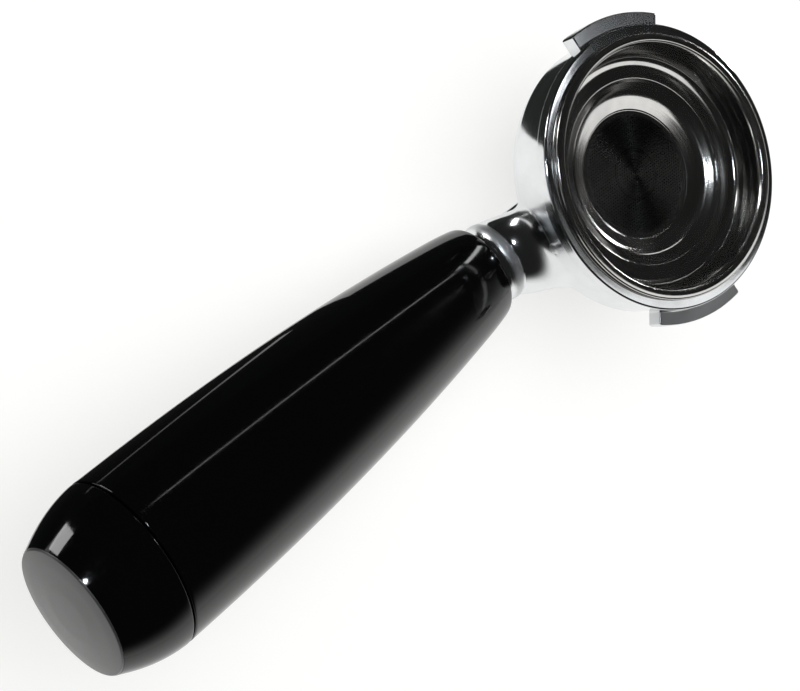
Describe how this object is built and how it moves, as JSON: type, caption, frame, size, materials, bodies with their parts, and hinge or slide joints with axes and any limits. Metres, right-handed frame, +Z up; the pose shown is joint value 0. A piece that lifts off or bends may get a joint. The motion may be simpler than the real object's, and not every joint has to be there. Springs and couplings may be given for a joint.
{
  "type": "portafilter",
  "caption": "Espresso portafilter with a chromed bayonet holder, lift-out stepped filter basket, short screwed spout and an oval black grip.",
  "frame": {"origin": "middle of the spout's flat base, on the bowl's axis", "axes": "+Z up out of the basket's mouth along the bowl's axis; the grip points along -X; the lugs stand out about +Y and -Y"},
  "size_m": [0.2319, 0.0826, 0.0674],
  "materials": {
    "chrome_holder": "mirror-bright chrome over a casting",
    "stainless_basket": "polished and lightly spun stainless sheet",
    "spring_wire": "bright drawn wire",
    "fastener_steel": "zinc-bright steel",
    "black_gloss": "glossy black moulding",
    "grey_satin_disc": "satin dark grey",
    "spout_black": "satin black moulding",
    "gasket_rubber": "dull black rubber",
    "brass_washer": "plain brass"
  },
  "bodies": {
    "holder": {"holder_body": "chrome_holder", "basket_spring": "spring_wire", "spring_pin": "fastener_steel", "spout_block": "spout_black", "spout_gasket": "gasket_rubber", "spout_screw": "fastener_steel", "spout_screw_washer": "brass_washer", "grip": "black_gloss", "grip_stud": "fastener_steel", "stud_washer": "fastener_steel", "stud_lock_washer": "fastener_steel", "stud_nut": "fastener_steel", "end_cap": "black_gloss", "cap_screw": "fastener_steel", "cap_disc": "grey_satin_disc"},
    "basket": {"filter_basket": "stainless_basket"}
  },
  "joints": [
    {"name": "basket_lift", "type": "slide", "parent": "holder", "child": "basket", "axis": [0, 0, 1], "range_m": [0, 0.05]}
  ]
}
